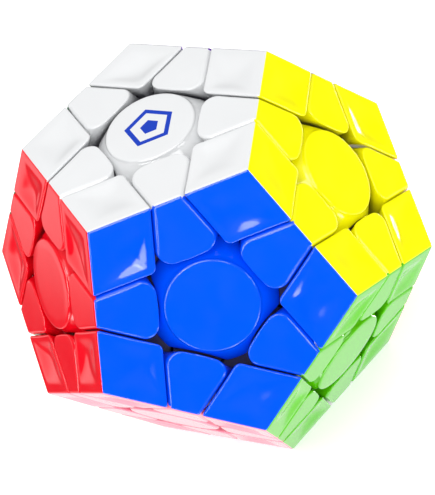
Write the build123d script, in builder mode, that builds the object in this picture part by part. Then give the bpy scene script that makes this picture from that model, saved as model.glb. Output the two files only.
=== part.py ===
"""Dodecahedron twisty puzzle with twelve turning faces.

One sprung core carries twelve face centres. Thirty edge pieces and twenty corner
pieces hook under them. Every surface where two groups of pieces slide past each
other is a plane square to a face axis, a cone about that axis or a sphere about the
centre of the puzzle, so each face can turn by any angle.

The origin is the centre of the core. +Z is the axis of the white face.
"""

import os
from itertools import combinations
from math import acos, asin, atan2, cos, degrees, radians, sin, sqrt, tan

from build123d import *

# Driving dimensions, in mm unless named otherwise.
EDGE_LENGTH = 30.0  # straight edge of the dodecahedron
CUT_RATIO = 0.6865  # depth of a layer cut over the distance from centre to face
SHELL_RATIO = 0.928  # sphere that parts the outer tiles from the feet, over face distance
FOOT_RATIO = 0.718  # inner sphere of the feet, over face distance
PIECE_CLEARANCE = 0.15  # taken off every sliding surface
RIM_RADIUS = 0.5  # rounding of every visible tile rim
RIDGE_RADIUS = 0.8  # rounding of the outer ridges of the dodecahedron
CORNER_TIP_RADIUS = 1.5  # rounding of a corner tile's inner tip
EDGE_END_RADIUS = 2.4  # rounding of an edge tile's inner end
SCOOP_DEPTH = 0.55  # dish in each corner tile
SCOOP_BORDER = 1.25  # flat border between that dish and the tile's sides
CAP_MARGIN = 0.33  # between the round plateau and the cuts beside it
CAP_LAND = 0.5  # straight side under the plateau
SKIRT_REACH = 3.0  # how far the sloping flank runs out past the plateau
HUB_OVERLAP = 0.9  # how far the cap's hub reaches down past the shell
SPIGOT_WALL = 0.6  # between the stem's spigot and the outside of the hub
CORE_RADIUS = 11.0
ARM_RADIUS = 4.2
ARM_LENGTH = 16.0
SCREW_RADIUS = 1.5
SCREW_HEAD_HEIGHT = 1.5
SCREW_HEAD_DROP = 2.3  # from the shell down to the top of the screw head
SPRING_WIRE = 0.35  # radius of the wire
SPRING_TURNS = 4.5
SPRING_PLAY = 0.55  # between spring and screw, and between spring and bore
SEAT_PLAY = 0.2  # between core arm and stem, and under the spring
STEM_FLOOR = 2.8
STEM_WALL = 1.7
STEM_GAP = 0.55  # between a stem and the feet around it

# Dodecahedron angles, in degrees.
FACE_TILT = degrees(atan2(2, 1))  # between the axes of two neighbouring faces
EDGE_TILT = FACE_TILT / 2
CORNER_TILT = degrees(acos(sqrt((5 + 2 * sqrt(5)) / 15)))
END_TILT = degrees(acos(cos(radians(FACE_TILT)) / cos(radians(EDGE_TILT))))

# Derived sizes.
FACE_DISTANCE = EDGE_LENGTH * sqrt(250 + 110 * sqrt(5)) / 20
CUT = CUT_RATIO * FACE_DISTANCE
SHELL = SHELL_RATIO * FACE_DISTANCE
FOOT = FOOT_RATIO * FACE_DISTANCE
SPRING_RADIUS = SCREW_RADIUS + SPRING_PLAY + SPRING_WIRE
STEM_BORE = SPRING_RADIUS + SPRING_WIRE + SPRING_PLAY
STEM_RADIUS = STEM_BORE + STEM_WALL
FLOOR_TOP = ARM_LENGTH + SEAT_PLAY + STEM_FLOOR
SCREW_HEAD_Z = SHELL - SCREW_HEAD_DROP - SCREW_HEAD_HEIGHT
SCREW_HEAD_RADIUS = SPRING_RADIUS + 0.5 * SPRING_WIRE
CONE_CLEARANCE = degrees(PIECE_CLEARANCE / FOOT)
FOOT_CONE = FACE_TILT - degrees(asin((STEM_RADIUS + STEM_GAP) / FOOT))
CUT_APOTHEM = (CUT - FACE_DISTANCE * cos(radians(FACE_TILT))) / sin(radians(FACE_TILT))
CAP_RADIUS = CUT_APOTHEM - CAP_MARGIN
SKIRT_RADIUS = CAP_RADIUS + SKIRT_REACH
SCOOP_RADIUS = (FACE_DISTANCE - CUT) / sin(radians(FACE_TILT)) / 2 - SCOOP_BORDER

FACES = {
    "white": (0, 0),
    "blue": (FACE_TILT, -90),
    "yellow": (FACE_TILT, -18),
    "purple": (FACE_TILT, 54),
    "green": (FACE_TILT, 126),
    "red": (FACE_TILT, 198),
    "lime": (180 - FACE_TILT, -54),
    "orange": (180 - FACE_TILT, 18),
    "lightblue": (180 - FACE_TILT, 90),
    "cream": (180 - FACE_TILT, 162),
    "pink": (180 - FACE_TILT, 234),
    "grey": (180, 0),
}


def axis_vector(tilt, turn):
    """Unit vector tilted from +Z, then turned about Z, both in degrees."""
    flat = sin(radians(tilt))
    return Vector(flat * cos(radians(turn)), flat * sin(radians(turn)), cos(radians(tilt)))


AXES = {name: axis_vector(*angles) for name, angles in FACES.items()}
EDGE_PAIRS = [
    pair
    for pair in combinations(FACES, 2)
    if AXES[pair[0]].dot(AXES[pair[1]]) > 0.4
]
CORNER_TRIPLES = [
    triple
    for triple in combinations(FACES, 3)
    if all(pair in EDGE_PAIRS for pair in combinations(triple, 2))
]


def keep_below(axis, distance):
    """Cut the active part with a plane square to axis, keeping the inner side."""
    split(bisect_by=Plane(origin=axis * distance, z_dir=axis), keep=Keep.BOTTOM)


def keep_above(axis, distance):
    """Cut the active part with a plane square to axis, keeping the outer side."""
    split(bisect_by=Plane(origin=axis * distance, z_dir=axis), keep=Keep.TOP)


def turning_cone(axis, half_angle, mode):
    """Combine the active part with a cone that has its apex at the puzzle's centre."""
    height = 1.1 * FACE_DISTANCE
    with Locations(Plane(origin=(0, 0, 0), z_dir=axis)):
        Cone(
            0,
            height * tan(radians(half_angle)),
            height,
            align=(Align.CENTER, Align.CENTER, Align.MIN),
            mode=mode,
        )


def edges_between(solid, first, second):
    """Straight edges shared by two planar faces with the given outward normals."""
    found = []
    for edge in solid.edges().filter_by(GeomType.LINE):
        normals = [
            face.normal_at()
            for face in solid.faces().filter_by(GeomType.PLANE)
            if any(edge.is_same(other) for other in face.edges())
        ]
        if len(normals) == 2:
            for a, b in (normals, normals[::-1]):
                if a.dot(first) > 0.999 and b.dot(second) > 0.999:
                    found.append(edge)
    return found


def seam_edges(solid, tops):
    """Rim edges of the tiles that face tops, apart from those along the outer ridges."""
    found = []
    for face in solid.faces().filter_by(GeomType.PLANE):
        normal = face.normal_at()
        if max(normal.dot(axis) for axis in tops) < 0.999:
            continue
        others = [axis for axis in tops if normal.dot(axis) < 0.999]
        for edge in face.edges():
            middle = edge @ 0.5
            if max(middle.dot(axis) for axis in others) < FACE_DISTANCE - 2 * RIDGE_RADIUS:
                found.append(edge)
    return found


def tile_block(tops, cuts):
    """Outer block of a piece: under the faces in tops, beyond the layer cuts in cuts."""
    size = 3 * FACE_DISTANCE
    with BuildPart() as block:
        Box(size, size, size)
        for axis in tops:
            keep_below(axis, FACE_DISTANCE)
        for axis in tops:
            keep_above(axis, CUT + PIECE_CLEARANCE)
        for axis in cuts:
            keep_below(axis, CUT - PIECE_CLEARANCE)
    return block.part


def neck_and_foot(tops, cuts, inset):
    """Foot that hooks under the neighbours, with the neck that carries the tiles."""
    with BuildPart() as foot:
        Sphere(SHELL - PIECE_CLEARANCE)
        Sphere(FOOT, mode=Mode.SUBTRACT)
        for axis in tops:
            turning_cone(axis, FOOT_CONE - CONE_CLEARANCE, Mode.INTERSECT)
        for axis in cuts:
            turning_cone(axis, FOOT_CONE + CONE_CLEARANCE, Mode.SUBTRACT)
    with BuildPart() as neck:
        Sphere(SHELL + PIECE_CLEARANCE + 0.6)
        Sphere(SHELL - PIECE_CLEARANCE - 0.6, mode=Mode.SUBTRACT)
        for axis in tops:
            keep_above(axis, CUT + PIECE_CLEARANCE + inset)
        for axis in cuts:
            turning_cone(axis, FOOT_CONE + CONE_CLEARANCE, Mode.SUBTRACT)
    return foot.part, neck.part



def round_block(block, tops, cuts, tip_radius):
    """Round the upright inner corners, the outer ridges and the rims of a tile block."""
    inner = [-axis for axis in tops] + list(cuts)
    tips = []
    for first, second in combinations(inner, 2):
        tips += edges_between(block.part, first, second)
    fillet(tips, tip_radius)
    ridges = []
    for first, second in combinations(tops, 2):
        ridges += edges_between(block.part, first, second)
    fillet(ridges, RIDGE_RADIUS)
    fillet(seam_edges(block.part, tops), RIM_RADIUS)


def placed(axis, toward):
    """Location whose +Z lies along axis and whose +X leans toward another axis."""
    lean = toward - axis * toward.dot(axis)
    return Plane(origin=(0, 0, 0), x_dir=lean, z_dir=axis).location


def upright(radius, low, high, mode=Mode.ADD):
    """Cylinder about +Z between two heights."""
    with Locations((0, 0, low)):
        Cylinder(radius, high - low, align=(Align.CENTER, Align.CENTER, Align.MIN), mode=mode)


# One corner piece, with its own axis along +Z.
corner_axes = [axis_vector(CORNER_TILT, turn) for turn in (0, 120, 240)]
corner_foot, corner_neck = neck_and_foot(corner_axes, [], CORNER_TIP_RADIUS / 3)
scoop_ball = (SCOOP_RADIUS**2 + SCOOP_DEPTH**2) / (2 * SCOOP_DEPTH)
with BuildPart() as corner:
    add(tile_block(corner_axes, []))
    round_block(corner, corner_axes, [], CORNER_TIP_RADIUS)
    for axis in corner_axes:
        outer_vertex = Vector(0, 0, FACE_DISTANCE / cos(radians(CORNER_TILT)))
        reach = outer_vertex - axis * FACE_DISTANCE
        centre = axis * (FACE_DISTANCE + scoop_ball - SCOOP_DEPTH) + reach * 0.71
        with Locations(centre):
            Sphere(scoop_ball, mode=Mode.SUBTRACT)
    Sphere(SHELL + PIECE_CLEARANCE, mode=Mode.SUBTRACT)
    add(corner_neck)
    add(corner_foot)

# One edge piece, with its own axis along +Z and its ends along Y.
edge_axes = [axis_vector(EDGE_TILT, 0), axis_vector(EDGE_TILT, 180)]
end_axes = [axis_vector(END_TILT, 90), axis_vector(END_TILT, -90)]
edge_foot, edge_neck = neck_and_foot(edge_axes, end_axes, EDGE_END_RADIUS / 3)
with BuildPart() as edge:
    add(tile_block(edge_axes, end_axes))
    round_block(edge, edge_axes, end_axes, EDGE_END_RADIUS)
    Sphere(SHELL + PIECE_CLEARANCE, mode=Mode.SUBTRACT)
    add(edge_neck)
    add(edge_foot)

# One centre cap with its face axis along +Z: plateau, flank, hollow underside and hub.
cap_cuts = [axis_vector(FACE_TILT, 72 * k) for k in range(5)]
flank_top = FACE_DISTANCE - CAP_LAND
hub_low = SHELL - PIECE_CLEARANCE - HUB_OVERLAP
spigot_high = SHELL + 0.25 * (FACE_DISTANCE - SHELL)
with BuildPart() as cap:
    with BuildSketch(Plane.XZ) as cap_profile:
        Polygon(
            (0, 0),
            (SKIRT_RADIUS, 0),
            (SKIRT_RADIUS, flank_top - (SKIRT_RADIUS - CAP_RADIUS)),
            (CAP_RADIUS, flank_top),
            (CAP_RADIUS, FACE_DISTANCE),
            (0, FACE_DISTANCE),
            align=None,
        )
    revolve(axis=Axis.Z)
    for axis in cap_cuts:
        keep_below(axis, CUT - PIECE_CLEARANCE)
    fillet(cap.edges().group_by(Axis.Z)[-1], 0.9 * CAP_LAND)
    Sphere(SHELL + PIECE_CLEARANCE, mode=Mode.SUBTRACT)
    upright(STEM_RADIUS, hub_low, spigot_high)
    upright(STEM_RADIUS - SPIGOT_WALL, 0, spigot_high, Mode.SUBTRACT)

# The stem that the cap plugs onto, with the bore for screw and spring.
with BuildPart() as stem:
    upright(STEM_RADIUS, ARM_LENGTH + SEAT_PLAY, hub_low)
    upright(STEM_RADIUS - SPIGOT_WALL, hub_low, spigot_high)
    upright(STEM_BORE, FLOOR_TOP, spigot_high, Mode.SUBTRACT)
    upright(SCREW_RADIUS + SEAT_PLAY, 0, FLOOR_TOP, Mode.SUBTRACT)

# One screw and one spring, along +Z.
with BuildPart() as screw:
    upright(SCREW_RADIUS, 0.6 * CORE_RADIUS, SCREW_HEAD_Z)
    upright(SCREW_HEAD_RADIUS, SCREW_HEAD_Z, SCREW_HEAD_Z + SCREW_HEAD_HEIGHT)
    fillet(screw.edges().group_by(Axis.Z)[-1], 0.4)
    with Locations((0, 0, SCREW_HEAD_Z + SCREW_HEAD_HEIGHT)):
        Box(3.2, 0.7, 1.8, mode=Mode.SUBTRACT)
        Box(0.7, 3.2, 1.8, mode=Mode.SUBTRACT)
coil_low = FLOOR_TOP + SEAT_PLAY + SPRING_WIRE
coil_height = SCREW_HEAD_Z - SPRING_WIRE - coil_low
with BuildPart() as spring:
    with BuildLine() as coil:
        Helix(
            pitch=coil_height / SPRING_TURNS,
            height=coil_height,
            radius=SPRING_RADIUS,
            center=(0, 0, coil_low),
        )
    with BuildSketch(Plane(origin=coil.line @ 0, z_dir=coil.line % 0)) as wire:
        Circle(SPRING_WIRE)
    sweep(path=coil.line, is_frenet=True)

# The core: a ball with twelve arms, drilled for the screws.
with BuildPart() as core:
    Sphere(CORE_RADIUS)
    for axis in AXES.values():
        with Locations(Plane(origin=(0, 0, 0), z_dir=axis)):
            upright(ARM_RADIUS, 0.7 * CORE_RADIUS, ARM_LENGTH)
    for axis in AXES.values():
        with Locations(Plane(origin=(0, 0, 0), z_dir=axis)):
            upright(SCREW_RADIUS, 0.6 * CORE_RADIUS, 2 * ARM_LENGTH, Mode.SUBTRACT)

os.makedirs("parts", exist_ok=True)
core.part.label = "core"
export_step(core.part, "parts/core.step")

face_places = {
    name: placed(axis, next(AXES[b if a == name else a] for a, b in EDGE_PAIRS if name in (a, b)))
    for name, axis in AXES.items()
}
with BuildPart() as screws:
    for place in face_places.values():
        add(screw.part.moved(place))
screws.part.label = "screws"
export_step(screws.part, "parts/screws.step")
with BuildPart() as springs:
    for place in face_places.values():
        add(spring.part.moved(place))
springs.part.label = "springs"
export_step(springs.part, "parts/springs.step")

for name, place in face_places.items():
    centre = Compound(
        label=f"centre_{name}",
        children=[cap.part.moved(place), stem.part.moved(place)],
    )
    export_step(centre, f"parts/centre_{name}.step")

# The five corners that touch the grey face ride with the edge above them.
for first, second in EDGE_PAIRS:
    place = placed((AXES[first] + AXES[second]).normalized(), AXES[first])
    with BuildPart() as edge_piece:
        add(edge.part.moved(place))
        if (first, second, "grey") in CORNER_TRIPLES:
            middle = AXES[first] + AXES[second] + AXES["grey"]
            add(corner.part.moved(placed(middle.normalized(), AXES[first])))
    edge_piece.part.label = f"edge_{first}_{second}"
    export_step(edge_piece.part, f"parts/edge_{first}_{second}.step")

for first, second, third in CORNER_TRIPLES:
    if third != "grey":
        middle = AXES[first] + AXES[second] + AXES[third]
        place = placed(middle.normalized(), AXES[first])
        with BuildPart() as corner_piece:
            add(corner.part.moved(place))
        corner_piece.part.label = f"corner_{first}_{second}_{third}"
        export_step(corner_piece.part, f"parts/corner_{first}_{second}_{third}.step")
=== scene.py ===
"""Looks of a dodecahedron twisty puzzle: twelve colours of glossy moulded plastic on a
sprung core. Each moving piece is one mesh that rides on its own CAD body."""

from itertools import combinations
from math import acos, atan, cos, degrees, pi, radians, sin, sqrt, tan

import bmesh
import bpy
import numpy as np
from mathutils import Matrix, Vector


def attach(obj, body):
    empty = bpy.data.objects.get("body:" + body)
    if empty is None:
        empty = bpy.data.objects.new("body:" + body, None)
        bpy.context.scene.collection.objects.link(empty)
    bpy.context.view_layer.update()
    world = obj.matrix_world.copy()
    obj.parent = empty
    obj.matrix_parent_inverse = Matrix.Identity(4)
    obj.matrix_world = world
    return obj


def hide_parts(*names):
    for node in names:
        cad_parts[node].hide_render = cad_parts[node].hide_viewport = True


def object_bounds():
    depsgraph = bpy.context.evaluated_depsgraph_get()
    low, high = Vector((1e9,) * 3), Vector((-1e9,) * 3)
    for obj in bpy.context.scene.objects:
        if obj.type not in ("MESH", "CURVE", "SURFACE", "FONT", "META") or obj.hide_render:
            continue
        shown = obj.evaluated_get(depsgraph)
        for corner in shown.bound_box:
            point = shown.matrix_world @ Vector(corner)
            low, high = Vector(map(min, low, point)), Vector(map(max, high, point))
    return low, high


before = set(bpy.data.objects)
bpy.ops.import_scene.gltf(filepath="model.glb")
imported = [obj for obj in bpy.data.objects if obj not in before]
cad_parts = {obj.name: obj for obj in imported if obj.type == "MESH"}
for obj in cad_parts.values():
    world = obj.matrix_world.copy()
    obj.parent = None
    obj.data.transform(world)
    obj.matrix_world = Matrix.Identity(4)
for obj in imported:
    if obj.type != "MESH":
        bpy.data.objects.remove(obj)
CAD_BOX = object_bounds()

bl_info = {
    "name": "Dodecahedron Puzzle Builder",
    "version": (1, 0, 0),
    "blender": (4, 5, 0),
    "location": "3D View > Sidebar > Puzzle",
    "description": "Builds the moulded pieces of a dodecahedron twisty puzzle",
    "category": "Object",
}

# The twelve faces, each with its tilt from +Z and its turn about Z, in degrees.
FACE_TILT = degrees(atan(2))
CORNER_TILT = degrees(acos(sqrt((5 + 2 * sqrt(5)) / 15)))
EDGE_TILT = FACE_TILT / 2
END_TILT = degrees(acos(cos(radians(FACE_TILT)) / cos(radians(EDGE_TILT))))
FACES = {
    "white": (0, 0),
    "blue": (FACE_TILT, -90),
    "yellow": (FACE_TILT, -18),
    "purple": (FACE_TILT, 54),
    "green": (FACE_TILT, 126),
    "red": (FACE_TILT, 198),
    "lime": (180 - FACE_TILT, -54),
    "orange": (180 - FACE_TILT, 18),
    "lightblue": (180 - FACE_TILT, 90),
    "cream": (180 - FACE_TILT, 162),
    "pink": (180 - FACE_TILT, 234),
    "grey": (180, 0),
}
COLOURS = {
    "white": (0.8, 0.81, 0.82),
    "blue": (0.0, 0.088, 0.93),
    "yellow": (0.97, 0.93, 0.003),
    "purple": (0.16, 0.03, 0.42),
    "green": (0.0, 0.12, 0.03),
    "red": (0.88, 0.004, 0.016),
    "lime": (0.11, 0.56, 0.002),
    "orange": (0.95, 0.16, 0.0),
    "lightblue": (0.12, 0.45, 0.85),
    "cream": (0.88, 0.77, 0.42),
    "pink": (0.9, 0.28, 0.38),
    "grey": (0.2, 0.21, 0.23),
}
INNER = "inner"
MARK = "mark"
MARK_APOTHEMS = (1.5, 3.1, 4.0)  # the small pentagon, then the ring's two sides, in mm
DISH_LEAN = (0.6, 1.0, 1.0, 0.6)  # a dish is gentler towards the two ridges than the seams
END_CRISPNESS = 0.6  # rounding at a tile's inner end over the rounding along its seams
MM = 0.001

# The sphere just under the tiles and the one under the feet, over the distance to a face.
SHELL_RATIO = 0.928
FOOT_RATIO = 0.718
STEM_PLAY = 0.55  # between a stem and the feet around it, in mm

# Corner tile: how far its first two rings lie inside the outline, in mm, then where the
# others lie between the middle and the second ring.
RING_INSETS = (0.9, 1.35)
RING_SHARES = (0.93, 0.86, 0.78, 0.69, 0.6, 0.5, 0.4, 0.3, 0.2, 0.1)
LEAST_NEAR = 0.01  # distance from an outline that the dish reckons with, in mm
ARC_STEPS = 9  # parts that an outline's rounded turn of ARC_SWEEP radians is divided into
ARC_SWEEP = 1.3

# Edge tile: the bowed inner end and the point that its rings shrink towards.
END_SHOULDER = 0.05  # where the end begins to turn, over the length of a side
END_BOW = 0.1  # how far the middle of the end lies back, in mm
END_BOW_RADIUS = 30
END_PULL = 1.2  # weight of the end's two corners, those at the ridge counting 1
EDGE_RING_SHARES = (0.72, 0.4)
LEAST_REACH = 0.1  # of the line under an edge tile that its walls run to, in mm

# Neck and foot under a corner or edge piece, in mm.
CORNER_NECK_INSET = 0.4
EDGE_NECK_INSET = 0.7
NECK_DEPTH = 1.2
NECK_RISE = 0.6
NECK_ROUND = 0.1
NECK_POINTS = 48
FOOT_ROUND = 0.45
FOOT_POINTS = 72
CONE_TILTS = (0.05, 60, 1200)  # least and greatest tilt tried for a loop, and how many

# Centre cap and its stem, in mm.
CAP_STEPS = 120
CAP_LIP = 0.5  # rounding at the rim of the plateau
LIP_STEPS = 6
CAP_INNER_RING = 6.5
FLANK_STEP = 0.02
FLANK_DROP = 0.05  # from the end of the lip to the start of the flank
WALL_MARGIN = 0.12  # kept between the flank and the wall of the cut
SKIRT_ROUND = 0.22
SKIRT_SPREAD = 0.1  # of the cap's foot past its rounded rim
UNDER_SHARES = (0.85, 0.7, 0.55, 0.4, 0.2)  # rings of the underside
STEM_WALL = 1.7  # also the radius of the screw's way through the floor
STEM_LOW = 16.2  # height of the stem's lower end
STEM_FLOOR = 3
STEM_CHAMFER = 0.3
STEM_SINK = 0.2  # of the stem's top below the cap's underside
STEM_STEPS = 48


def axis_vector(tilt, turn):
    """Unit vector tilted from +Z, then turned about Z, both in degrees."""
    flat = sin(radians(tilt))
    return np.array([flat * cos(radians(turn)), flat * sin(radians(turn)), cos(radians(tilt))])


AXES = {name: axis_vector(*angles) for name, angles in FACES.items()}
EDGE_PAIRS = [p for p in combinations(FACES, 2) if AXES[p[0]] @ AXES[p[1]] > 0.4]
CORNER_TRIPLES = [
    t for t in combinations(FACES, 3) if all(p in EDGE_PAIRS for p in combinations(t, 2))
]


# ---------------------------------------------------------------- settings


class PuzzleSizes(bpy.types.PropertyGroup):
    """Sizes of the moulded pieces, in millimetres."""

    cut_ratio: bpy.props.FloatProperty(
        name="Cut ratio",
        description="Depth of a layer cut over the distance from centre to face",
        default=0.6865,
        min=0.6,
        max=0.75,
    )
    clearance: bpy.props.FloatProperty(
        name="Clearance",
        description="Plastic taken off every sliding surface",
        default=0.15,
        min=0.05,
        max=0.4,
    )
    rim: bpy.props.FloatProperty(
        name="Rim",
        description="Rounding radius of a tile's rim along a seam",
        default=0.42,
        min=0.1,
        max=0.8,
    )
    ridge: bpy.props.FloatProperty(
        name="Ridge",
        description="Rounding radius of the outer ridges between two colours",
        default=0.8,
        min=0.2,
        max=1.5,
    )
    corner_tip: bpy.props.FloatProperty(
        name="Corner tip",
        description="Plan radius of a corner tile's inner tip",
        default=1.6,
        min=0.5,
        max=3.0,
    )
    edge_end: bpy.props.FloatProperty(
        name="Edge end",
        description="Plan radius at the inner end of an edge tile",
        default=2.5,
        min=0.8,
        max=3.5,
    )
    scoop_depth: bpy.props.FloatProperty(
        name="Scoop depth",
        description="Depth of the dish in each corner tile",
        default=0.85,
        min=0.0,
        max=1.0,
    )
    scoop_border: bpy.props.FloatProperty(
        name="Scoop border",
        description="Flat border around the dish of a corner tile",
        default=0.9,
        min=0.5,
        max=3.0,
    )
    cap_margin: bpy.props.FloatProperty(
        name="Cap margin",
        description="Between the round plateau of a centre cap and the cuts beside it",
        default=0.33,
        min=0.2,
        max=1.0,
    )
    skirt_reach: bpy.props.FloatProperty(
        name="Skirt reach",
        description="How far the sloping flank of a cap runs out past its plateau",
        default=3.0,
        min=1.0,
        max=4.0,
    )
    stem_radius: bpy.props.FloatProperty(
        name="Stem radius",
        description="Outer radius of the stem under a centre cap",
        default=5.0,
        min=3.0,
        max=6.0,
    )


def colour_property(name, value):
    """A colour setting for one face's plastic."""
    return bpy.props.FloatVectorProperty(
        name=name.capitalize(),
        description=f"Plastic of the {name} face",
        subtype="COLOR",
        size=3,
        min=0.0,
        max=1.0,
        default=value,
    )


class PuzzleColours(bpy.types.PropertyGroup):
    """Colours of the twelve plastics and of the dark inner parts."""

    inner: colour_property("inner", (0.15, 0.14, 0.19))
    mark: colour_property("mark", (0.004, 0.045, 0.5))


for face_name, face_colour in COLOURS.items():
    PuzzleColours.__annotations__[face_name] = colour_property(face_name, face_colour)


class PuzzleLights(bpy.types.PropertyGroup):
    """Strengths of the studio lights."""

    surround: bpy.props.FloatProperty(
        name="Surround",
        description="Brightness of the pale studio that lights the puzzle softly",
        default=0.92,
        min=0.0,
    )
    key: bpy.props.FloatProperty(
        name="Key light",
        description="Power of the large softbox overhead",
        default=1.6,
        min=0.0,
        unit="POWER",
    )
    fill: bpy.props.FloatProperty(
        name="Fill light",
        description="Power of the low softbox at the front",
        default=1.2,
        min=0.0,
        unit="POWER",
    )
    table: bpy.props.FloatProperty(
        name="Light table",
        description="Glow of the pale floor, which softens shadows on it",
        default=0.45,
        min=0.0,
    )
    windows: bpy.props.FloatProperty(
        name="Windows",
        description="Brightness of the small bright windows that the gloss mirrors",
        default=12.0,
        min=0.0,
    )


# ---------------------------------------------------------------- meshes


class Solid:
    """Collects faces by their corner points, in mm, and joins the points that meet.

    Points that round to the same fifth of a micrometre are one point.
    """

    PER_MM = 5000

    def __init__(self):
        self.points = []
        self.lookup = {}
        self.faces = []
        self.stuff = []
        self.rims = {}

    def point(self, place):
        key = tuple(int(round(v * self.PER_MM)) for v in place)
        if key not in self.lookup:
            self.lookup[key] = len(self.points)
            self.points.append(tuple(float(v) for v in place))
        return self.lookup[key]

    def face(self, places, stuff):
        corners = []
        for place in places:
            index = self.point(place)
            if index not in corners:
                corners.append(index)
        if len(corners) > 2:
            self.faces.append(corners)
            self.stuff.append(stuff)

    def rim(self, start, end, weight):
        """Marks an edge that the bevel rounds, weight being its offset in mm."""
        pair = frozenset((self.point(start), self.point(end)))
        if len(pair) == 2:
            self.rims[pair] = weight

    def mesh(self, name):
        """The finished mesh, in metres, with bevel weights and smooth shading."""
        mesh = bpy.data.meshes.new(name)
        mesh.from_pydata([tuple(v * MM for v in p) for p in self.points], [], self.faces)
        mesh.polygons.foreach_set("material_index", self.stuff)
        mesh.polygons.foreach_set("use_smooth", [True] * len(self.faces))
        weights = mesh.attributes.new("bevel_weight_edge", "FLOAT", "EDGE")
        values = [self.rims.get(frozenset(edge.vertices), 0.0) for edge in mesh.edges]
        weights.data.foreach_set("value", values)
        work = bmesh.new()
        work.from_mesh(mesh)
        bmesh.ops.recalc_face_normals(work, faces=work.faces)
        work.to_mesh(mesh)
        work.free()
        mesh.update()
        return mesh


def meet(*planes):
    """Point shared by three planes, each a pair of unit normal and distance."""
    return np.linalg.solve(np.array([p[0] for p in planes]), np.array([p[1] for p in planes]))


def unit(vector):
    """The same direction with a length of 1."""
    return vector / np.linalg.norm(vector)


def on_sphere(start, target, radius):
    """Where the line from start to target crosses a sphere about the origin."""
    along = target - start
    a = along @ along
    b = 2 * start @ along
    c = start @ start - radius * radius
    step = (-b - sqrt(max(b * b - 4 * a * c, 0.0))) / (2 * a)
    return start + along * step


def rounded_outline(corners, radii, tags, pieces):
    """Closed outline through corners with rounded turns.

    tags[i] belongs to the side from corner i to corner i + 1, which is divided into
    pieces[i] parts. Returns the points and, for each, the tag of the side after it.
    """
    points = []
    sides = []
    count = len(corners)
    entry = []
    leave = []
    arcs = []
    for i in range(count):
        before = unit(corners[i - 1] - corners[i])
        after = unit(corners[(i + 1) % count] - corners[i])
        if radii[i] <= 0:
            entry.append(corners[i])
            leave.append(corners[i])
            arcs.append([corners[i]])
            continue
        half = acos(np.clip(before @ after, -1, 1)) / 2
        reach = radii[i] / tan(half)
        start = corners[i] + before * reach
        end = corners[i] + after * reach
        centre = corners[i] + unit(before + after) * (radii[i] / sin(half))
        sweep = pi - 2 * half
        steps = max(2, int(round(ARC_STEPS * sweep / ARC_SWEEP)))
        u = unit(start - centre)
        v = unit((end - centre) - u * ((end - centre) @ u))
        arc = [
            centre + radii[i] * (u * cos(sweep * k / steps) + v * sin(sweep * k / steps))
            for k in range(steps + 1)
        ]
        entry.append(start)
        leave.append(end)
        arcs.append(arc)
    for i in range(count):
        for place in arcs[i]:
            points.append(place)
            sides.append("arc")
        sides[-1] = tags[i]
        nxt = (i + 1) % count
        for k in range(1, pieces[i]):
            share = k / pieces[i]
            points.append(leave[i] * (1 - share) + entry[nxt] * share)
            sides.append(tags[i])
    return points, sides


def tile(solid, outline, centre, rings, lower, stuff):
    """Fills an outline with rings that shrink towards centre. lower gives each point's depth."""
    count = len(outline)
    loops = [outline]
    for share in rings:
        loops.append([lower(centre + (p - centre) * share) for p in outline])
    for outer, inner in zip(loops, loops[1:]):
        for k in range(count):
            nxt = (k + 1) % count
            solid.face([outer[k], outer[nxt], inner[nxt], inner[k]], stuff)
    middle = lower(centre)
    for k in range(count):
        solid.face([loops[-1][k], loops[-1][(k + 1) % count], middle], stuff)


def sphere_loop(axis, radius, inside, outside, count):
    """Loop of points on a sphere around axis where the first cone limit is met.

    inside and outside hold (axis, half angle in degrees) of cones to stay in or out of.
    """
    helper = np.array([1.0, 0, 0]) if abs(axis[0]) < 0.9 else np.array([0, 1.0, 0])
    side = unit(helper - axis * (helper @ axis))
    other = np.cross(axis, side)
    tilt = np.radians(np.linspace(*CONE_TILTS))
    points = []
    for k in range(count):
        turn = 2 * pi * k / count
        lean = side * cos(turn) + other * sin(turn)
        rays = np.outer(np.cos(tilt), axis) + np.outer(np.sin(tilt), lean)
        good = np.ones(len(tilt), bool)
        for cone, half in inside:
            good &= rays @ cone >= cos(radians(half))
        for cone, half in outside:
            good &= rays @ cone <= cos(radians(half))
        last = len(tilt) - 1 if good.all() else max(int(np.argmin(good)) - 1, 0)
        points.append(rays[last] * radius)
    return points


def sphere_block(solid, axis, loop, low, high, round_by, stuff):
    """Closed block between two spheres, its outline on the sphere given by loop."""
    count = len(loop)
    rays = [unit(p) for p in loop]

    def ring(radius, inward):
        out = []
        for ray in rays:
            pull = unit(axis - ray * (ray @ axis))
            out.append(unit(ray * radius + pull * inward) * radius)
        return out

    lower, upper = [], []
    for k in range(4):
        angle = pi / 2 * k / 3
        level, inward = round_by * (1 - sin(angle)), round_by * (1 - cos(angle))
        lower.append((low + level, inward))
        upper.append((high - level, inward))
    loops = [ring(r, i) for r, i in lower[::-1] + upper]
    for first, second in zip(loops, loops[1:]):
        for k in range(count):
            nxt = (k + 1) % count
            solid.face([first[k], first[nxt], second[nxt], second[k]], stuff)
    for loop_end, radius in ((loops[0], low), (loops[-1], high)):
        middle = axis * radius
        inner = loop_end
        for share in (0.66, 0.33):
            nextloop = [unit(p * share + middle * (1 - share)) * radius for p in loop_end]
            for k in range(count):
                nxt = (k + 1) % count
                solid.face([inner[k], inner[nxt], nextloop[nxt], nextloop[k]], stuff)
            inner = nextloop
        for k in range(count):
            solid.face([inner[k], inner[(k + 1) % count], middle], stuff)


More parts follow.
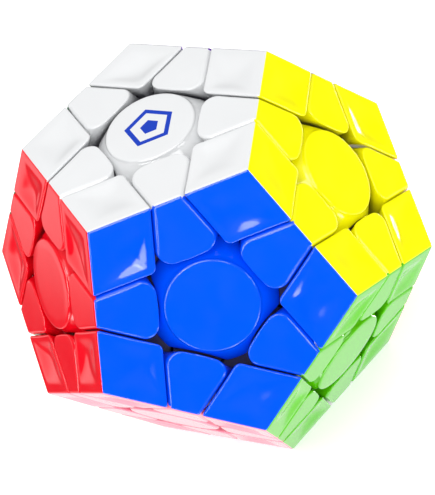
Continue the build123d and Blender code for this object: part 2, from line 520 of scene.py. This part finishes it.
class Mould:
    """Distances that all pieces share, in mm, from the CAD frame and the settings."""

    def __init__(self, sizes):
        low, high = CAD_BOX
        self.face = (high[2] - low[2]) / 2 / MM
        self.cut = sizes.cut_ratio * self.face
        self.gap = sizes.clearance
        self.shell = SHELL_RATIO * self.face
        self.foot = FOOT_RATIO * self.face
        lean = (sizes.stem_radius + STEM_PLAY) / self.foot
        self.cone = FACE_TILT - degrees(acos(sqrt(1 - lean**2)))
        self.play = degrees(self.gap / self.foot)
        self.sizes = sizes
        tilt = radians(FACE_TILT)
        self.apothem = (self.cut - self.face * cos(tilt)) / sin(tilt)
        self.cap = self.apothem - sizes.cap_margin

    def rim_offset(self):
        """How far a seam's rounding reaches in from an edge that is 63 degrees sharp."""
        return self.sizes.rim / tan(radians(FACE_TILT) / 2)

    def ridge_offset(self):
        """How far a ridge's rounding reaches in from the edge between two faces."""
        return self.sizes.ridge * tan(radians(FACE_TILT) / 2)


def walls(solid, outline, sides, target_of, radius, bottom, stuff, skip):
    """Walls that run from an outline down to a sphere, closed there around bottom."""
    count = len(outline)
    for k in range(count):
        if sides[k] == skip:
            continue
        first, second = outline[k], outline[(k + 1) % count]
        low_first = on_sphere(first, target_of(first), radius)
        low_second = on_sphere(second, target_of(second), radius)
        solid.face([first, second, low_second, low_first], stuff)
        solid.face([low_first, low_second, bottom], stuff)


def mark_rims(solid, outline, sides, seam, ridge):
    """Sets how far each side of an outline is rounded; inner ends are crisper than seams."""
    end = seam * END_CRISPNESS
    weights = {"ridge": ridge, "seam": seam, "end": end, "arc": end}
    for k, side in enumerate(sides):
        solid.rim(outline[k], outline[(k + 1) % len(outline)], weights[side])


def add_foot(solid, mould, inside, outside, neck_inset, stuff):
    """Neck and foot under a piece with its axis along +Z, on the spheres of the mould.

    inside holds the faces whose cones they stay in, outside those whose cones they avoid.
    """
    axis = np.array([0, 0, 1.0])
    radius = mould.shell + mould.gap
    neck_cone = degrees(acos((mould.cut + mould.gap + neck_inset) / mould.shell))
    foot_cone = mould.cone - mould.play
    barred = [(face, mould.cone + mould.play) for face in outside]
    kept = [(face, neck_cone) for face in inside]
    neck = sphere_loop(axis, mould.shell, kept, barred, NECK_POINTS)
    low, high = mould.shell - NECK_DEPTH, radius + NECK_RISE
    sphere_block(solid, axis, neck, low, high, NECK_ROUND, stuff)
    kept = [(face, foot_cone) for face in inside]
    foot = sphere_loop(axis, mould.shell, kept, barred, FOOT_POINTS)
    low, high = mould.foot, mould.shell - mould.gap
    sphere_block(solid, axis, foot, low, high, FOOT_ROUND, stuff)


def corner_solid(mould):
    """A corner piece with its axis along +Z: three scooped tiles, their walls and a foot."""
    sizes = mould.sizes
    solid = Solid()
    axes = [axis_vector(CORNER_TILT, turn) for turn in (0, 120, 240)]
    cut = mould.cut + mould.gap
    vertex = meet(*[(axis, mould.face) for axis in axes])
    apex = meet(*[(axis, cut) for axis in axes])
    radius = mould.shell + mould.gap
    bottom = np.array([0, 0, radius])
    seam, ridge = mould.rim_offset(), mould.ridge_offset()
    for k in range(3):
        top, left, right = axes[k], axes[(k + 1) % 3], axes[(k + 2) % 3]
        end_left = meet((top, mould.face), (left, mould.face), (right, cut))
        end_right = meet((top, mould.face), (right, mould.face), (left, cut))
        tip = meet((top, mould.face), (left, cut), (right, cut))
        outline, sides = rounded_outline(
            [vertex, end_left, tip, end_right],
            [0, 0, sizes.corner_tip, 0],
            ["ridge", "seam", "seam", "ridge"],
            [14, 14, 14, 14],
        )
        centre = (vertex + tip) / 2
        lines = []
        for a, b in ((vertex, end_left), (end_left, tip), (tip, end_right), (end_right, vertex)):
            inward = np.cross(top, b - a)
            inward = unit(inward if inward @ (centre - a) > 0 else -inward)
            lines.append((a, inward))
        half = abs((centre - lines[0][0]) @ lines[0][1])
        border = sizes.scoop_border

        def scoop(place, lines=lines, top=top, half=half, border=border):
            near = [
                max((place - a) @ inward, LEAST_NEAR) * lean
                for (a, inward), lean in zip(lines, DISH_LEAN)
            ]
            soft = sum(d**-4 for d in near) ** -0.25
            share = np.clip((soft - border) / (half / sqrt(2) - border), 0, 1)
            return place - top * sizes.scoop_depth * share * share * (3 - 2 * share)

        first, second = (1 - inset / half for inset in RING_INSETS)
        rings = [first, second] + [second * share for share in RING_SHARES]
        tile(solid, outline, centre, rings, scoop, k)
        walls(solid, outline, sides, lambda p: apex, radius, bottom, k, "ridge")
        mark_rims(solid, outline, sides, seam, ridge)
    add_foot(solid, mould, axes, [], CORNER_NECK_INSET, 3)
    return solid


def edge_solid(mould):
    """An edge piece with its axis along +Z and its ends along Y: two tiles and a foot."""
    sizes = mould.sizes
    solid = Solid()
    tops = [axis_vector(EDGE_TILT, 0), axis_vector(EDGE_TILT, 180)]
    ends = [axis_vector(END_TILT, 90), axis_vector(END_TILT, -90)]
    inner, outer = mould.cut + mould.gap, mould.cut - mould.gap
    radius = mould.shell + mould.gap
    bottom = np.array([0, 0, radius])
    apexes = [meet((tops[0], inner), (tops[1], inner), (end, outer)) for end in ends]
    seam, ridge = mould.rim_offset(), mould.ridge_offset()

    def below(place, reach):
        share = np.clip(place[1] / reach, -1, 1)
        return apexes[0] * (1 + share) / 2 + apexes[1] * (1 - share) / 2

    for k, (top, other) in enumerate((tops, tops[::-1])):
        near = [meet((top, mould.face), (other, mould.face), (end, outer)) for end in ends]
        far = [meet((top, mould.face), (other, inner), (end, outer)) for end in ends]
        middle = (far[0] + far[1]) / 2
        back = unit((near[0] + near[1]) / 2 - middle)
        shoulder = [p + (q - p) * END_SHOULDER for p, q in zip(far, near)]
        outline, sides = rounded_outline(
            [near[0], near[1], shoulder[1], middle + back * END_BOW, shoulder[0]],
            [0, 0, sizes.edge_end, END_BOW_RADIUS, sizes.edge_end],
            ["ridge", "seam", "end", "end", "seam"],
            [6, 12, 2, 2, 12],
        )
        centre = near[0] + near[1] + far[0] * END_PULL + far[1] * END_PULL
        centre = centre / (2 + 2 * END_PULL)
        tile(solid, outline, centre, EDGE_RING_SHARES, lambda place: place, k)
        start, run = near[0], far[0] - near[0]
        end_reach, side_reach = abs(far[0][1]), near[0][1]

        def target(place, start=start, run=run, end_reach=end_reach, side_reach=side_reach):
            along = abs((place - start) @ unit(run)) / np.linalg.norm(run)
            here = side_reach + (end_reach - side_reach) * min(along, 1.0)
            return below(place, max(here, LEAST_REACH))

        walls(solid, outline, sides, target, radius, bottom, k, "ridge")
        mark_rims(solid, outline, sides, seam, ridge)
    add_foot(solid, mould, tops, ends, EDGE_NECK_INSET, 2)
    return solid


def centre_solid(mould, marked):
    """A centre cap with its face axis along +Z: plateau, flank, skirt and the stem below.

    A marked cap carries a plain mark of one small pentagon inside a pentagonal ring.
    """
    sizes = mould.sizes
    solid = Solid()
    top, cap = mould.face, mould.cap
    skirt = cap + sizes.skirt_reach
    lip = CAP_LIP
    radius = mould.shell + mould.gap

    def off_side(turn):
        """Angle from the middle of the nearest side of a pentagon."""
        return (turn + pi / 5) % (2 * pi / 5) - pi / 5

    def wall_reach(turn, depth):
        side = mould.apothem - mould.gap / sin(radians(FACE_TILT)) + depth / 2
        return side / cos(off_side(turn))

    def rings_at(turn):
        """The cap's section at one turn, from the mark outwards and then under."""
        spokes = [(apothem / cos(off_side(turn)), 0.0) for apothem in MARK_APOTHEMS]
        spokes += [(CAP_INNER_RING, 0.0), (cap - lip, 0.0)]
        for k in range(1, LIP_STEPS + 1):
            angle = pi / 2 * k / LIP_STEPS
            spokes.append((cap - lip + lip * sin(angle), lip * (1 - cos(angle))))
        reach, depth = cap, lip
        while reach < skirt and reach < wall_reach(turn, depth) - WALL_MARGIN:
            reach += FLANK_STEP
            depth += FLANK_STEP
        start = lip + FLANK_DROP
        for k in range(1, LIP_STEPS + 1):
            share = k / LIP_STEPS
            spokes.append((cap + (reach - cap) * share, start + (depth - start) * share))
        spokes.append((reach + SKIRT_ROUND * 0.7, depth + SKIRT_ROUND))
        spokes.append((reach + SKIRT_ROUND * 0.9, depth + SKIRT_ROUND * 1.9))
        base_r = min(reach + SKIRT_ROUND + SKIRT_SPREAD, wall_reach(turn, depth + 1))
        low = top - sqrt(max(radius**2 - base_r**2, 1.0))
        spokes.append((base_r, max(low, depth + SKIRT_ROUND * 2.2)))
        for share in UNDER_SHARES:
            under = base_r * share
            spokes.append((under, top - sqrt(radius**2 - under**2)))
        return spokes

    table = [rings_at(2 * pi * k / CAP_STEPS) for k in range(CAP_STEPS)]

    def place(k, ring):
        reach, depth = table[k % CAP_STEPS][ring]
        turn = 2 * pi * (k % CAP_STEPS) / CAP_STEPS
        return np.array([reach * cos(turn), reach * sin(turn), top - depth])

    crown = np.array([0, 0, top])
    base = np.array([0, 0, radius])
    last = len(table[0]) - 1
    for k in range(CAP_STEPS):
        solid.face([crown, place(k, 0), place(k + 1, 0)], 2 if marked else 0)
        for ring in range(last):
            solid.face(
                [place(k, ring), place(k, ring + 1), place(k + 1, ring + 1), place(k + 1, ring)],
                2 if marked and ring == 1 else 0,
            )
        solid.face([place(k, last), base, place(k + 1, last)], 0)
    stem = sizes.stem_radius
    bore = stem - STEM_WALL
    floor, high = STEM_LOW + STEM_FLOOR, radius - STEM_SINK
    profile = [
        (bore, floor),
        (bore, high),
        (stem, high),
        (stem, STEM_LOW + STEM_CHAMFER),
        (stem - STEM_CHAMFER, STEM_LOW),
        (STEM_WALL, STEM_LOW),
        (STEM_WALL, floor),
    ]
    turned(solid, profile, STEM_STEPS, 1)
    return solid


def turned(solid, profile, steps, stuff):
    """Closed ring of revolution about +Z from a closed (radius, height) profile."""
    for k in range(steps):
        a, b = 2 * pi * k / steps, 2 * pi * (k + 1) / steps
        for (r1, z1), (r2, z2) in zip(profile, profile[1:] + profile[:1]):
            solid.face(
                [
                    np.array([r1 * cos(a), r1 * sin(a), z1]),
                    np.array([r2 * cos(a), r2 * sin(a), z2]),
                    np.array([r2 * cos(b), r2 * sin(b), z2]),
                    np.array([r1 * cos(b), r1 * sin(b), z1]),
                ],
                stuff,
            )


def placed(axis, toward):
    """Matrix whose +Z lies along axis and whose +X leans toward another axis."""
    z = unit(axis)
    x = unit(toward - z * (toward @ z))
    y = np.cross(z, x)
    return Matrix([[x[i], y[i], z[i], 0] for i in range(3)] + [[0, 0, 0, 1]])


def add_piece(name, mesh, matrix, plastics, body, nodes):
    """Places one copy of a piece, rounds its rims and sets it on its CAD body."""
    piece = bpy.data.objects.new(name, mesh.copy())
    piece.data.transform(matrix)
    bpy.context.scene.collection.objects.link(piece)
    for plastic in plastics:
        piece.data.materials.append(plastic)
    bevel = piece.modifiers.new("Rounded rims", "BEVEL")
    bevel.width = MM
    bevel.segments = 4
    bevel.limit_method = "WEIGHT"
    bevel.harden_normals = True
    bevel.use_clamp_overlap = False
    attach(piece, body)
    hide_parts(*nodes)
    return piece


# ---------------------------------------------------------------- materials

ORANGE_PEEL = 0.004  # depth of the moulded surface's unevenness, in mm
TILE_GLOSS = (0.07, 0.13)  # least and greatest roughness
INNER_GLOSS = (0.18, 0.3)


def socket_group(name, inputs, outputs):
    """An empty shader node group with the given sockets."""
    group = bpy.data.node_groups.new(name, "ShaderNodeTree")
    for label, kind, value in inputs:
        made = group.interface.new_socket(label, in_out="INPUT", socket_type=kind)
        if value is not None:
            made.default_value = value
    for label, kind in outputs:
        group.interface.new_socket(label, in_out="OUTPUT", socket_type=kind)
    return group, group.nodes.new("NodeGroupInput"), group.nodes.new("NodeGroupOutput")


def moulding_group():
    """Moulded surface: slight tint drift, uneven gloss, fine orange peel and hair scratches."""
    if "Moulded surface" in bpy.data.node_groups:
        return bpy.data.node_groups["Moulded surface"]
    group, source, result = socket_group(
        "Moulded surface",
        [
            ("Colour", "NodeSocketColor", (0.5, 0.5, 0.5, 1)),
            ("Deep Colour", "NodeSocketColor", (0.4, 0.4, 0.4, 1)),
            ("Gloss Low", "NodeSocketFloat", 0.1),
            ("Gloss High", "NodeSocketFloat", 0.2),
        ],
        [
            ("Colour", "NodeSocketColor"),
            ("Roughness", "NodeSocketFloat"),
            ("Height", "NodeSocketFloat"),
        ],
    )
    nodes, links = group.nodes, group.links
    coords = nodes.new("ShaderNodeTexCoord")
    drift = nodes.new("ShaderNodeTexNoise")
    drift.inputs["Scale"].default_value = 90
    drift.inputs["Detail"].default_value = 2
    links.new(coords.outputs["Object"], drift.inputs["Vector"])
    tint = nodes.new("ShaderNodeMix")
    tint.data_type = "RGBA"
    links.new(drift.outputs["Fac"], tint.inputs["Factor"])
    links.new(source.outputs["Deep Colour"], tint.inputs[6])
    links.new(source.outputs["Colour"], tint.inputs[7])
    links.new(tint.outputs[2], result.inputs["Colour"])
    haze = nodes.new("ShaderNodeTexNoise")
    haze.inputs["Scale"].default_value = 260
    haze.inputs["Detail"].default_value = 3
    links.new(coords.outputs["Object"], haze.inputs["Vector"])
    gloss = nodes.new("ShaderNodeMapRange")
    gloss.inputs["From Min"].default_value = 0.35
    gloss.inputs["From Max"].default_value = 0.7
    links.new(haze.outputs["Fac"], gloss.inputs["Value"])
    links.new(source.outputs["Gloss Low"], gloss.inputs["To Min"])
    links.new(source.outputs["Gloss High"], gloss.inputs["To Max"])
    links.new(gloss.outputs["Result"], result.inputs["Roughness"])
    peel = nodes.new("ShaderNodeTexNoise")
    peel.inputs["Scale"].default_value = 420
    peel.inputs["Detail"].default_value = 1
    links.new(coords.outputs["Object"], peel.inputs["Vector"])
    stretch = nodes.new("ShaderNodeMapping")
    stretch.inputs["Scale"].default_value = (1, 9, 1)
    stretch.inputs["Rotation"].default_value = (0.4, 0.2, 0.9)
    links.new(coords.outputs["Object"], stretch.inputs["Vector"])
    hair = nodes.new("ShaderNodeTexNoise")
    hair.inputs["Scale"].default_value = 900
    links.new(stretch.outputs["Vector"], hair.inputs["Vector"])
    faint = nodes.new("ShaderNodeMath")
    faint.operation = "MULTIPLY_ADD"
    faint.inputs[1].default_value = 0.12
    links.new(hair.outputs["Fac"], faint.inputs[0])
    links.new(peel.outputs["Fac"], faint.inputs[2])
    links.new(faint.outputs[0], result.inputs["Height"])
    return group


def surface_material(name, colour, deep, gloss):
    """A material with uneven colour and gloss, deep being the darkest share of the colour.

    Returns it with its shader and with the node that the surface comes from.
    """
    material = bpy.data.materials.new(name)
    material.use_nodes = True
    nodes, links = material.node_tree.nodes, material.node_tree.links
    shader = nodes["Principled BSDF"]
    surface = nodes.new("ShaderNodeGroup")
    surface.node_tree = moulding_group()
    surface.inputs["Colour"].default_value = (*colour, 1)
    surface.inputs["Deep Colour"].default_value = (*[c * deep for c in colour], 1)
    surface.inputs["Gloss Low"].default_value = gloss[0]
    surface.inputs["Gloss High"].default_value = gloss[1]
    links.new(surface.outputs["Colour"], shader.inputs["Base Color"])
    links.new(surface.outputs["Roughness"], shader.inputs["Roughness"])
    return material, shader, surface


def plastic_material(name, colour, gloss):
    """Glossy moulded plastic in one colour."""
    material, shader, surface = surface_material(name, colour, 0.93, gloss)
    nodes, links = material.node_tree.nodes, material.node_tree.links
    bump = nodes.new("ShaderNodeBump")
    bump.inputs["Strength"].default_value = 0.35
    bump.inputs["Distance"].default_value = ORANGE_PEEL * MM
    links.new(surface.outputs["Height"], bump.inputs["Height"])
    links.new(bump.outputs["Normal"], shader.inputs["Normal"])
    shader.inputs["IOR"].default_value = 1.49
    return material


def steel_material(name, colour, rough):
    """Turned steel with fine uneven polish."""
    material, shader, _ = surface_material(name, colour, 0.8, (rough * 0.7, rough * 1.3))
    shader.inputs["Metallic"].default_value = 1.0
    return material


def plastics():
    """The plastics of faces, inner parts and mark by name, made once from the settings."""
    colours = bpy.context.scene.puzzle_colours
    found = {}
    for name in [*FACES, INNER, MARK]:
        label = f"Plastic {name}"
        if label not in bpy.data.materials:
            gloss = INNER_GLOSS if name == INNER else TILE_GLOSS
            plastic_material(label, tuple(getattr(colours, name)), gloss)
        found[name] = bpy.data.materials[label]
    return found


# ---------------------------------------------------------------- operators


class PUZZLE_OT_corners(bpy.types.Operator):
    """Builds the twenty corner pieces with three scooped tiles each"""

    bl_idname = "puzzle.corners"
    bl_label = "Corner Pieces"

    def execute(self, context):
        mesh = corner_solid(Mould(context.scene.puzzle_sizes)).mesh("corner")
        stock = plastics()
        for names in CORNER_TRIPLES:
            axes = [AXES[n] for n in names]
            turn = np.cross(axes[0], axes[1]) @ axes[2]
            order = names if turn > 0 else (names[0], names[2], names[1])
            joined = "_".join(names)
            node = f"corner_{joined}" if names[2] != "grey" else f"edge_{names[0]}_{names[1]}"
            add_piece(
                f"moulded_corner_{joined}",
                mesh,
                placed(sum(axes), axes[0]),
                [stock[n] for n in order] + [stock[INNER]],
                node,
                [node],
            )
        return {"FINISHED"}


class PUZZLE_OT_edges(bpy.types.Operator):
    """Builds the thirty edge pieces with two tiles each"""

    bl_idname = "puzzle.edges"
    bl_label = "Edge Pieces"

    def execute(self, context):
        mesh = edge_solid(Mould(context.scene.puzzle_sizes)).mesh("edge")
        stock = plastics()
        for first, second in EDGE_PAIRS:
            node = f"edge_{first}_{second}"
            add_piece(
                f"moulded_edge_{first}_{second}",
                mesh,
                placed(AXES[first] + AXES[second], AXES[first]),
                [stock[first], stock[second], stock[INNER]],
                f"centre_{first}" if second == "grey" else node,
                [node],
            )
        return {"FINISHED"}


class PUZZLE_OT_centres(bpy.types.Operator):
    """Builds the twelve centre caps with their stems"""

    bl_idname = "puzzle.centres"
    bl_label = "Centre Caps"

    def execute(self, context):
        mould = Mould(context.scene.puzzle_sizes)
        plain = centre_solid(mould, False).mesh("centre")
        marked = centre_solid(mould, True).mesh("centre_marked")
        stock = plastics()
        for name, axis in AXES.items():
            pair = next(p for p in EDGE_PAIRS if name in p)
            other = pair[0] if pair[1] == name else pair[1]
            node = f"centre_{name}"
            add_piece(
                f"moulded_centre_{name}",
                marked if name == "white" else plain,
                placed(axis, AXES[other]),
                [stock[name], stock[INNER], *([stock[MARK]] if name == "white" else [])],
                "core" if name == "grey" else node,
                [node],
            )
        return {"FINISHED"}


class PUZZLE_OT_core(bpy.types.Operator):
    """Finishes the core, the screws and the springs of the frame"""

    bl_idname = "puzzle.core"
    bl_label = "Core, Screws and Springs"

    def execute(self, context):
        dark = plastic_material("Core plastic", (0.02, 0.02, 0.025), (0.25, 0.4))
        screw = steel_material("Screw steel", (0.55, 0.55, 0.57), 0.28)
        spring = steel_material("Spring steel", (0.7, 0.7, 0.72), 0.2)
        for node, material in (("core", dark), ("screws", screw), ("springs", spring)):
            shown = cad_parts[node]
            shown.data.materials.clear()
            shown.data.materials.append(material)
        return {"FINISHED"}


def softbox(name, place, width, height, power):
    """A rectangular area light that looks at the puzzle."""
    data = bpy.data.lights.new(name, "AREA")
    data.shape = "RECTANGLE"
    data.size = width
    data.size_y = height
    data.energy = power
    light = bpy.data.objects.new(name, data)
    bpy.context.scene.collection.objects.link(light)
    light.location = place
    light.visible_camera = False
    light.rotation_mode = "QUATERNION"
    light.rotation_quaternion = (-Vector(place)).to_track_quat("-Z", "Y")
    return light


# Bright windows of the studio as the gloss mirrors them: bearing from the front towards
# +X, height above the horizon, half width, all in degrees, and a share of the brightness.
WINDOWS = (
    (-42, 22, 9, 0.75),
    (-27, 32, 11, 0.75),
    (-17, 43, 9, 0.75),
    (17, -17, 5, 0.75),
    (150, -36, 15, 0.75),
    (-126, -3, 18, 0.07),
    (52, 12, 10, 0.6),
    (36, 48, 9, 0.6),
    (2, 64, 10, 0.6),
    (-68, 3, 9, 0.6),
    (-48, -30, 10, 0.6),
    (-6, -44, 10, 0.6),
    (38, -36, 10, 0.6),
)


# What the gloss mirrors between the windows: height from straight down (0) to straight up
# (1) and the brightness there.
STUDIO_RAMP = (
    (0.0, 1.0),
    (0.13, 1.0),
    (0.27, 0.08),
    (0.5, 0.0),
    (0.66, 0.0),
    (0.8, 0.3),
    (1.0, 0.5),
)

# The camera's place in metres, the directions that are right and up in its picture, and its
# lens and sensor in mm.
CAMERA_PLACE = (0.043102, -0.275146, 0.255877)
CAMERA_RIGHT = (0.92616292, -0.1710562, -0.33609823)
CAMERA_UP = (0.3602919, 0.66462163, 0.65457454)
CAMERA_LENS = 144.17
CAMERA_SENSOR = 36


def studio_world(surround, windows):
    """Soft white surroundings, with a darker studio and a few windows for the gloss."""
    world = bpy.data.worlds.new("Studio")
    world.use_nodes = True
    nodes, links = world.node_tree.nodes, world.node_tree.links
    nodes.clear()
    coords = nodes.new("ShaderNodeTexCoord")
    split = nodes.new("ShaderNodeSeparateXYZ")
    links.new(coords.outputs["Generated"], split.inputs[0])
    ramp = nodes.new("ShaderNodeValToRGB")
    while len(ramp.color_ramp.elements) < len(STUDIO_RAMP):
        ramp.color_ramp.elements.new(0.5)
    for element, (place, value) in zip(ramp.color_ramp.elements, STUDIO_RAMP):
        element.position = place
        element.color = (value, value, value, 1)
    height = nodes.new("ShaderNodeMapRange")
    height.inputs["From Min"].default_value = -1
    links.new(split.outputs["Z"], height.inputs["Value"])
    links.new(height.outputs["Result"], ramp.inputs["Fac"])
    total = ramp.outputs["Color"]
    for bearing, rise, half, share in WINDOWS:
        facing = nodes.new("ShaderNodeVectorMath")
        facing.operation = "DOT_PRODUCT"
        flat = cos(radians(rise))
        facing.inputs[1].default_value = (
            flat * sin(radians(bearing)),
            -flat * cos(radians(bearing)),
            sin(radians(rise)),
        )
        links.new(coords.outputs["Generated"], facing.inputs[0])
        window = nodes.new("ShaderNodeMapRange")
        window.interpolation_type = "SMOOTHSTEP"
        window.inputs["From Min"].default_value = cos(radians(half * 1.1))
        window.inputs["From Max"].default_value = cos(radians(half * 0.9))
        window.inputs["To Max"].default_value = share * windows
        links.new(facing.outputs["Value"], window.inputs["Value"])
        gather = nodes.new("ShaderNodeMath")
        gather.operation = "ADD"
        links.new(total, gather.inputs[0])
        links.new(window.outputs["Result"], gather.inputs[1])
        total = gather.outputs[0]
    path = nodes.new("ShaderNodeLightPath")
    shades = []
    for strength in (surround, None, 1.0):
        shade = nodes.new("ShaderNodeBackground")
        shade.inputs["Color"].default_value = (1, 1, 1, 1)
        if strength is None:
            links.new(total, shade.inputs["Strength"])
        else:
            shade.inputs["Strength"].default_value = strength
        shades.append(shade)
    gloss_mix = nodes.new("ShaderNodeMixShader")
    links.new(path.outputs["Is Glossy Ray"], gloss_mix.inputs[0])
    links.new(shades[0].outputs[0], gloss_mix.inputs[1])
    links.new(shades[1].outputs[0], gloss_mix.inputs[2])
    seen_mix = nodes.new("ShaderNodeMixShader")
    links.new(path.outputs["Is Camera Ray"], seen_mix.inputs[0])
    links.new(gloss_mix.outputs[0], seen_mix.inputs[1])
    links.new(shades[2].outputs[0], seen_mix.inputs[2])
    result = nodes.new("ShaderNodeOutputWorld")
    links.new(seen_mix.outputs[0], result.inputs["Surface"])
    return world


class PUZZLE_OT_stage(bpy.types.Operator):
    """Builds the floor, the studio lights and the camera"""

    bl_idname = "puzzle.stage"
    bl_label = "Stage and Camera"

    def execute(self, context):
        scene = context.scene
        lights = scene.puzzle_lights
        scene.view_settings.view_transform = "Standard"
        work = bmesh.new()
        bmesh.ops.create_grid(work, x_segments=16, y_segments=16, size=3.0)
        data = bpy.data.meshes.new("floor")
        work.to_mesh(data)
        work.free()
        floor = bpy.data.objects.new("floor", data)
        floor.location = (0, 0, CAD_BOX[0][2])
        floor.visible_glossy = False
        scene.collection.objects.link(floor)
        paper = bpy.data.materials.new("Floor paper")
        paper.use_nodes = True
        shader = paper.node_tree.nodes["Principled BSDF"]
        shader.inputs["Base Color"].default_value = (0.97, 0.97, 0.97, 1)
        shader.inputs["Roughness"].default_value = 0.9
        shader.inputs["Specular IOR Level"].default_value = 0.1
        shader.inputs["Emission Color"].default_value = (1, 1, 1, 1)
        shader.inputs["Emission Strength"].default_value = lights.table
        data.materials.append(paper)
        scene.world = studio_world(lights.surround, lights.windows)
        softbox("Key", (-0.05, -0.25, 0.75), 0.5, 0.5, lights.key)
        low = softbox("Fill", (0.0, -0.8, 0.35), 0.5, 0.4, lights.fill)
        low.visible_glossy = False
        eye = bpy.data.objects.new("Camera", bpy.data.cameras.new("Camera"))
        scene.collection.objects.link(eye)
        eye.data.sensor_width = CAMERA_SENSOR
        eye.data.lens = CAMERA_LENS
        eye.data.clip_start = 0.01
        eye.data.clip_end = 20
        right, up = Vector(CAMERA_RIGHT), Vector(CAMERA_UP)
        back = right.cross(up)
        turn = Matrix([[right[i], up[i], back[i]] for i in range(3)]).to_4x4()
        eye.matrix_world = Matrix.Translation(CAMERA_PLACE) @ turn
        scene.camera = eye
        return {"FINISHED"}


class PUZZLE_PT_panel(bpy.types.Panel):
    """Lists the pieces and their settings"""

    bl_label = "Dodecahedron Puzzle"
    bl_idname = "PUZZLE_PT_panel"
    bl_space_type = "VIEW_3D"
    bl_region_type = "UI"
    bl_category = "Puzzle"

    def draw(self, context):
        scene = context.scene
        for operator in OPERATORS:
            self.layout.operator(operator.bl_idname)
        for group in (scene.puzzle_sizes, scene.puzzle_colours, scene.puzzle_lights):
            box = self.layout.box()
            for setting in group.bl_rna.properties:
                if setting.identifier not in ("rna_type", "name"):
                    box.prop(group, setting.identifier)


OPERATORS = (
    PUZZLE_OT_corners,
    PUZZLE_OT_edges,
    PUZZLE_OT_centres,
    PUZZLE_OT_core,
    PUZZLE_OT_stage,
)
CLASSES = (PuzzleSizes, PuzzleColours, PuzzleLights, *OPERATORS, PUZZLE_PT_panel)


def register():
    for item in CLASSES:
        bpy.utils.register_class(item)
    bpy.types.Scene.puzzle_sizes = bpy.props.PointerProperty(type=PuzzleSizes)
    bpy.types.Scene.puzzle_colours = bpy.props.PointerProperty(type=PuzzleColours)
    bpy.types.Scene.puzzle_lights = bpy.props.PointerProperty(type=PuzzleLights)


def unregister():
    del bpy.types.Scene.puzzle_lights
    del bpy.types.Scene.puzzle_colours
    del bpy.types.Scene.puzzle_sizes
    for item in reversed(CLASSES):
        bpy.utils.unregister_class(item)


def main():
    register()
    bpy.ops.puzzle.corners()
    bpy.ops.puzzle.edges()
    bpy.ops.puzzle.centres()
    bpy.ops.puzzle.core()
    bpy.ops.puzzle.stage()


if __name__ == "__main__":
    main()
